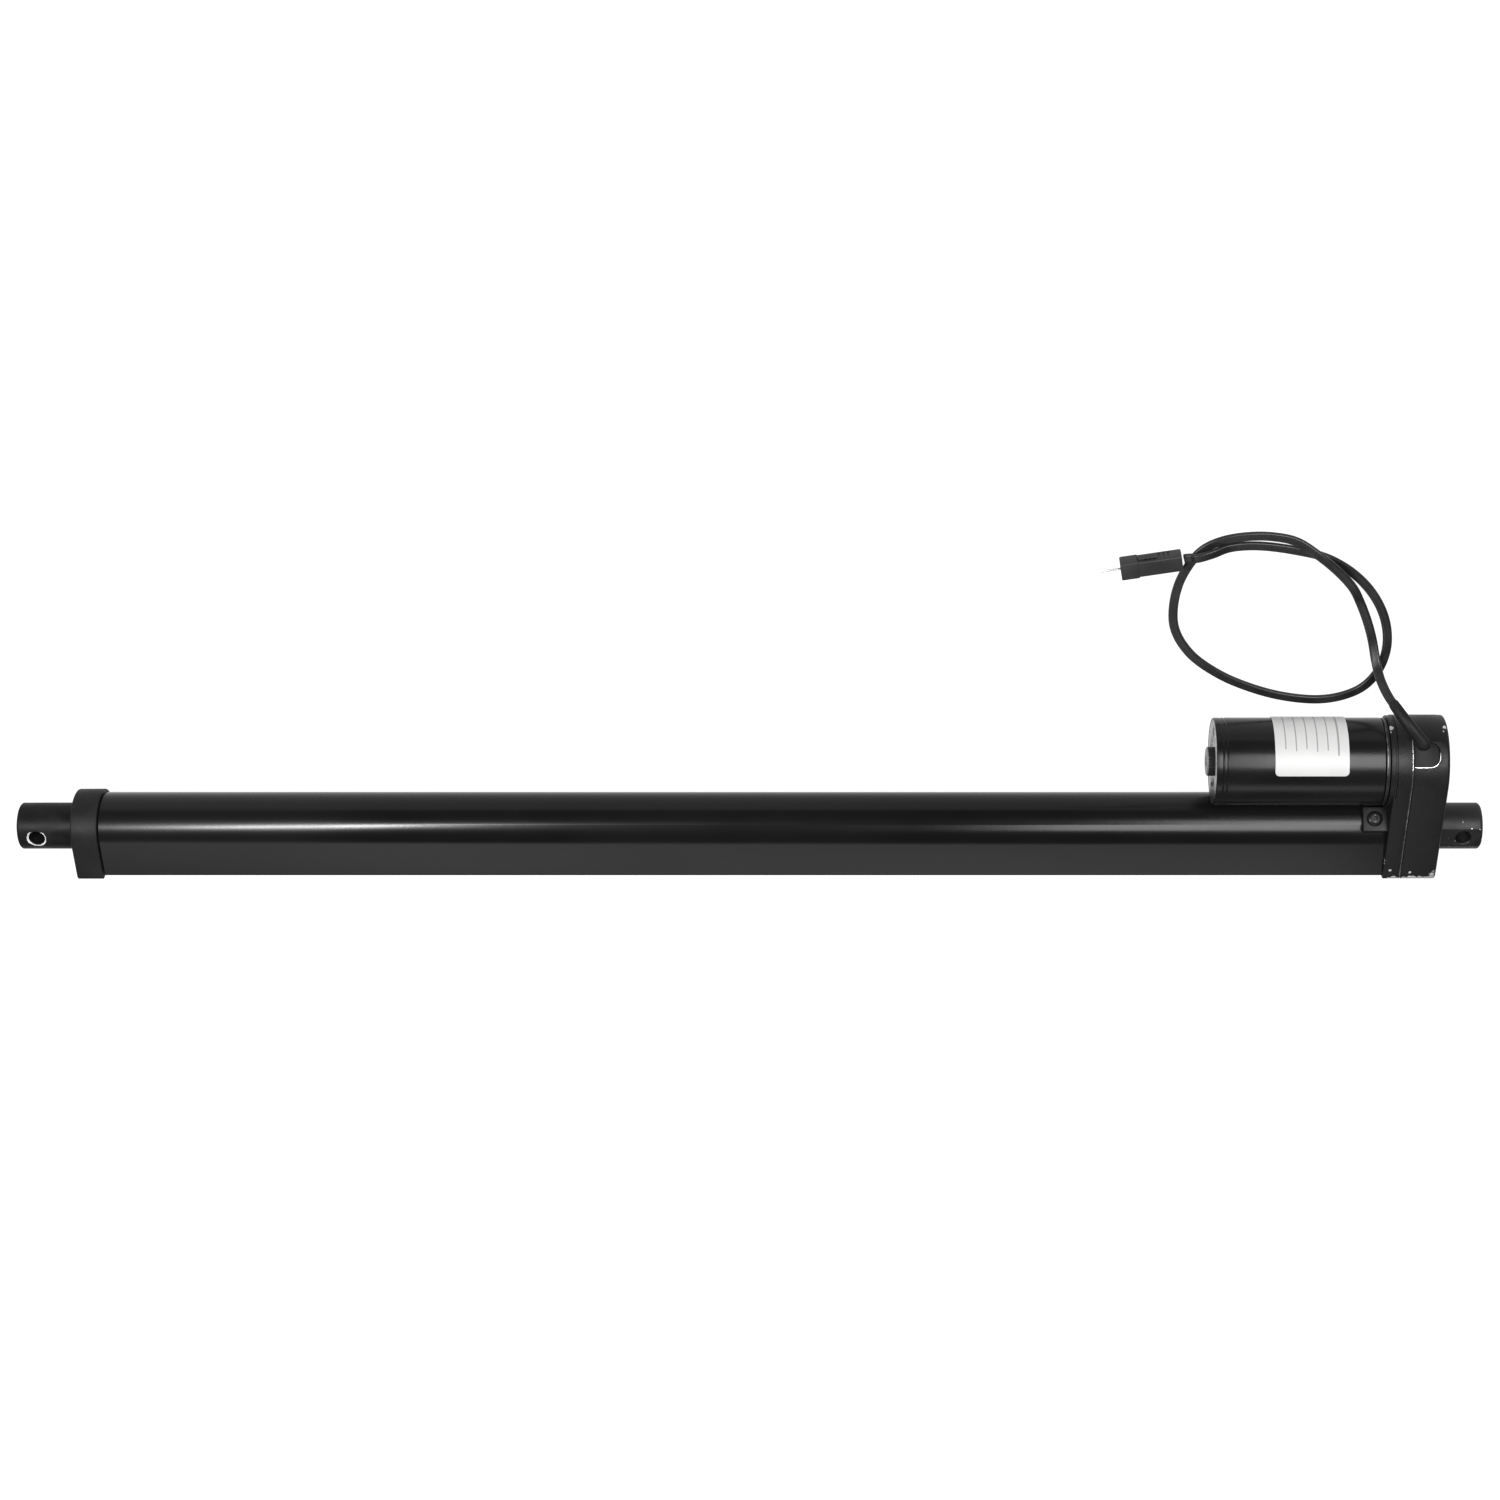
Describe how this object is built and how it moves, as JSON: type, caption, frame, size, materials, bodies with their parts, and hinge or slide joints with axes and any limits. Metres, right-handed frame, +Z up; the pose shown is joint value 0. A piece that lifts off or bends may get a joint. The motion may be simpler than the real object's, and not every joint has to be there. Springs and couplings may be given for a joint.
{
  "type": "linear actuator",
  "caption": "Electric linear actuator: a motor beside a D-shaped tube drives a lead screw through gears and slides a rod in and out; cross-pin eyes at both ends and a corded connector.",
  "frame": {"origin": "under the middle of the actuator's box without its cord, on the surface that it lies on", "axes": "+X the way the rod extends, +Y from the motor towards the flat base of the tube, +Z up along the cross-pin holes"},
  "size_m": [0.63, 0.1523, 0.04],
  "materials": {
    "tube_paint": "satin black powder coat with long soft highlights",
    "rod_paint": "satin black coating, worn to bare metal at the cross-pin holes",
    "casting_paint": "rough black paint on a die casting, chipped at its edges",
    "motor_paint": "gloss black motor can",
    "zinc_casting": "bright grainy zinc",
    "black_plastic": "moulded black plastic",
    "cap_plastic": "matte moulded black plastic",
    "bronze": "oiled sintered bronze",
    "rubber": "soft black rubber",
    "cord_jacket": "smooth black jacket",
    "connector_plastic": "moulded black plastic with grip ribs",
    "tinned_pin": "tinned contact",
    "label_film": "blank pale printed film",
    "black_screw": "black oxide",
    "bright_steel": "turned steel",
    "core_steel": "stacked steel sheets",
    "nylon": "natural nylon",
    "magnet": "dark ferrite or carbon",
    "copper": "enamelled copper",
    "board": "green circuit board"
  },
  "bodies": {
    "root": {"outer_tube": "tube_paint", "rear_clevis": "rod_paint", "gearbox_housing": "casting_paint", "gearbox_cover": "casting_paint", "motor_can": "motor_paint", "motor_flange": "motor_paint", "motor_end_plate": "zinc_casting", "motor_bearing_cap": "black_plastic", "brush_card": "black_plastic", "front_end_cap": "cap_plastic", "front_guide_bush": "bronze", "rod_wiper_seal": "rubber", "cord_grommet": "rubber", "power_cord": "cord_jacket", "connector_body": "connector_plastic", "connector_pin": "tinned_pin", "rating_label": "label_film", "lug_screw_1": "black_screw", "lug_screw_2": "black_screw", "bearing_outer_race": "bright_steel", "idler_pin": "bright_steel", "motor_magnet_1": "magnet", "motor_magnet_2": "magnet", "motor_rear_bush": "bronze", "screw_rear_bush": "bronze", "motor_brush_1": "magnet", "motor_brush_2": "magnet", "motor_screw_1": "bright_steel", "motor_screw_2": "bright_steel", "cover_screw_1": "bright_steel", "cover_screw_2": "bright_steel", "cover_screw_3": "bright_steel", "cover_screw_4": "bright_steel", "retract_limit_switch": "black_plastic", "extend_limit_switch": "black_plastic", "limit_switch_board": "board", "motor_lead_1": "copper", "motor_lead_2": "copper"},
    "rod": {"extension_rod": "rod_paint", "rod_end": "rod_paint", "drive_nut": "nylon", "nut_pin": "bright_steel"},
    "screw": {"lead_screw": "bright_steel", "screw_front_guide": "nylon", "bearing_inner_race": "bright_steel", "bearing_lock_ring": "bright_steel", "bearing_ball_cage": "bronze", "screw_gear": "nylon"},
    "idler": {"compound_gear": "nylon"},
    "rotor": {"rotor_shaft": "bright_steel", "armature_core": "core_steel", "armature_winding_front": "copper", "armature_winding_rear": "copper", "commutator": "copper", "motor_pinion": "bright_steel"},
    "retract_plunger": {"retract_limit_plunger": "nylon"},
    "extend_plunger": {"extend_limit_plunger": "nylon"}
  },
  "joints": [
    {"name": "rod_slide", "type": "slide", "parent": "root", "child": "rod", "axis": [1, 0, 0], "range_m": [0, 0.508]},
    {"name": "screw_spin", "type": "hinge", "parent": "root", "child": "screw", "pos_m": [0, 0.0183, 0.02], "axis": [1, 0, 0], "continuous": true},
    {"name": "idler_spin", "type": "hinge", "parent": "root", "child": "idler", "pos_m": [0, 0.0008, 0.02], "axis": [1, 0, 0], "continuous": true},
    {"name": "rotor_spin", "type": "hinge", "parent": "root", "child": "rotor", "pos_m": [0, -0.0153, 0.02], "axis": [1, 0, 0], "continuous": true},
    {"name": "retract_limit_press", "type": "slide", "parent": "root", "child": "retract_plunger", "axis": [-1, 0, 0], "range_m": [0, 0.0006], "stiffness_N_per_m": 400, "springref_m": -0.0005},
    {"name": "extend_limit_press", "type": "slide", "parent": "root", "child": "extend_plunger", "axis": [1, 0, 0], "range_m": [0, 0.0006], "stiffness_N_per_m": 400, "springref_m": -0.0005}
  ],
  "couplings": [
    {"joint": "screw_spin", "follows": "rod_slide", "rad_per_m": -2094.4},
    {"joint": "idler_spin", "follows": "rod_slide", "rad_per_m": 6582.4},
    {"joint": "rotor_spin", "follows": "rod_slide", "rad_per_m": -28524}
  ]
}
